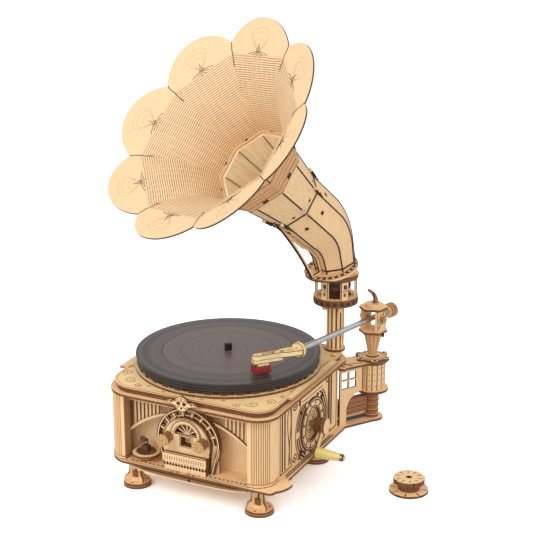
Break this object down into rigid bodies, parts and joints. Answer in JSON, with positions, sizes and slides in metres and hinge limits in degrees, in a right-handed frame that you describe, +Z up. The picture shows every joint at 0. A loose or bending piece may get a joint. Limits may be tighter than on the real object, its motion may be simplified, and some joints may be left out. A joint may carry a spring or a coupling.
{
  "type": "gramophone",
  "caption": "Free-standing plywood gramophone with a petal horn, fluted corner columns, arched front, cranked turntable and tonearm.",
  "frame": {"origin": "middle of the bounding box, on the surface that the feet stand on", "axes": "+Z up, -Y towards the front with the arch, +X to the side with the crank and the tonearm tower"},
  "size_m": [0.3618, 0.3646, 0.5642],
  "materials": {
    "pale_plywood": "matt",
    "plywood_edge": "matt",
    "yellow_wood": "satin",
    "black_plastic": "gloss",
    "record_black": "grooved gloss",
    "red_plastic": "gloss",
    "rubber": "matt",
    "steel": "satin",
    "aluminium": "satin",
    "brass": "polished"
  },
  "bodies": {
    "cabinet": {"base_plate": "pale_plywood", "plinth_frame": "plywood_edge", "front_stretcher": "pale_plywood", "feet": "pale_plywood", "wall_left": "pale_plywood", "wall_right": "pale_plywood", "wall_back": "pale_plywood", "side_frame_left": "pale_plywood", "side_frame_right": "pale_plywood", "corner_columns": "pale_plywood", "front_panel": "pale_plywood", "recess_board": "pale_plywood", "arch_rim": "pale_plywood", "radio_face": "pale_plywood", "key_shelf": "pale_plywood", "slat_screens": "pale_plywood", "miniature_table": "pale_plywood", "mouldings": "pale_plywood", "deck_plate": "pale_plywood", "front_crest": "pale_plywood", "well_ring": "pale_plywood", "arm_shelf": "pale_plywood", "tower_stack": "plywood_edge", "tower_drum": "pale_plywood", "rear_bracket": "plywood_edge", "horn_post": "pale_plywood", "collar_base": "pale_plywood", "lantern_cage": "pale_plywood", "speaker": "black_plastic", "gear_frame": "pale_plywood", "platter_pedestal": "pale_plywood", "battery_box": "black_plastic", "platter_bush": "brass"},
    "turntable": {"platter": "pale_plywood", "platter_shaft": "steel", "platter_mat": "rubber", "record": "record_black", "spindle_cap": "black_plastic"},
    "crank": {"crank_shaft": "steel", "crank_gear": "pale_plywood", "crank_arm": "pale_plywood"},
    "crank_grip": {"crank_handle": "yellow_wood"},
    "counter": {"countershaft": "steel", "pinion": "pale_plywood", "friction_wheel": "rubber"},
    "arm_post": {"arm_yoke": "pale_plywood"},
    "tonearm": {"tonearm_tube": "aluminium", "headshell": "pale_plywood", "cartridge": "red_plastic", "counterweight": "plywood_edge", "pivot_pin": "brass"},
    "horn": {"swivel_collar": "pale_plywood", "elbow": "pale_plywood", "neck_brace": "pale_plywood", "neck": "pale_plywood", "bell_ring": "plywood_edge", "petals": "pale_plywood"},
    "left_knob": {"left_knob": "pale_plywood"},
    "right_knob": {"right_knob": "pale_plywood"},
    "adapter": {"record_adapter": "pale_plywood"}
  },
  "joints": [
    {"name": "platter_spin", "type": "hinge", "parent": "cabinet", "child": "turntable", "pos_m": [-0.0637, -0.0028, 0.15], "axis": [0, 0, 1], "continuous": true},
    {"name": "counter_spin", "type": "hinge", "parent": "cabinet", "child": "counter", "pos_m": [-0.0137, -0.0028, 0.11742], "axis": [1, 0, 0], "continuous": true},
    {"name": "crank_spin", "type": "hinge", "parent": "cabinet", "child": "crank", "pos_m": [0.0363, 0.0082, 0.08], "axis": [1, 0, 0], "continuous": true},
    {"name": "grip_spin", "type": "hinge", "parent": "crank", "child": "crank_grip", "pos_m": [0.0763, -0.01411, 0.05434], "axis": [1, 0, 0], "continuous": true},
    {"name": "arm_swing", "type": "hinge", "parent": "cabinet", "child": "arm_post", "pos_m": [0.0673, 0.1392, 0.1772], "axis": [0, 0, 1], "range_deg": [-10, 24]},
    {"name": "arm_lift", "type": "hinge", "parent": "arm_post", "child": "tonearm", "pos_m": [0.0673, 0.1392, 0.1772], "axis": [-0.9781, 0.2079, 0], "range_deg": [0, 18]},
    {"name": "horn_swivel", "type": "hinge", "parent": "cabinet", "child": "horn", "pos_m": [0.0333, 0.0982, 0.242], "axis": [0, 0, 1], "range_deg": [-60, 60]},
    {"name": "left_knob_turn", "type": "hinge", "parent": "cabinet", "child": "left_knob", "pos_m": [-0.0871, -0.1102, 0.0853], "axis": [0, -1, 0], "range_deg": [-150, 150]},
    {"name": "right_knob_turn", "type": "hinge", "parent": "cabinet", "child": "right_knob", "pos_m": [-0.0403, -0.1102, 0.0853], "axis": [0, -1, 0], "range_deg": [-150, 150]},
    {"name": "adapter_lift", "type": "slide", "parent": "cabinet", "child": "adapter", "axis": [0, 0, 1], "range_m": [0, 0.1]}
  ],
  "couplings": [
    {"joint": "counter_spin", "follows": "platter_spin", "ratio": -2},
    {"joint": "crank_spin", "follows": "platter_spin", "ratio": 0.5}
  ]
}
